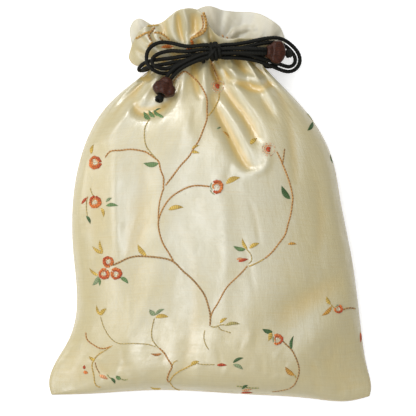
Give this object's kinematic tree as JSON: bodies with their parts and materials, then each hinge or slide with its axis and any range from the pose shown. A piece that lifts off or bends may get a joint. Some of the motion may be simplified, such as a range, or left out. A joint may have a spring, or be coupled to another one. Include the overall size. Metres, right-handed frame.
{
  "type": "drawstring travel bag",
  "caption": "Soft satin drawstring pouch lying on its back, with a gathered neck, ruffled mouth and a cord bow ending in turned wooden beads.",
  "frame": {"origin": "on the floor under the middle of the bag's outline, as it lies on its back", "axes": "+Y along the bag from its bottom seam to its mouth, +Z away from the floor through the front panel, +X to the right as seen from the front"},
  "size_m": [0.28, 0.3432, 0.0514],
  "materials": {
    "satin": "crinkled satin with a soft sheen, cream with golden shade in the folds",
    "black_cord": "round black braid, slightly glossy",
    "bead_wood": "turned, stained dark red-brown and waxed"
  },
  "bodies": {
    "root": {"front_panel": "satin", "back_panel": "satin", "left_draw_upper": "black_cord", "left_draw_lower": "black_cord", "left_loop_outer": "black_cord", "left_loop_inner": "black_cord", "left_tail_lower": "black_cord", "left_tail_upper": "black_cord", "right_draw_upper": "black_cord", "right_draw_lower": "black_cord", "right_loop_outer": "black_cord", "right_loop_inner": "black_cord", "right_tail_lower": "black_cord", "right_tail_upper": "black_cord", "bow_knot": "black_cord", "left_stopper_knot": "black_cord", "right_stopper_knot": "black_cord", "left_bead": "bead_wood", "right_bead": "bead_wood"}
  },
  "joints": []
}
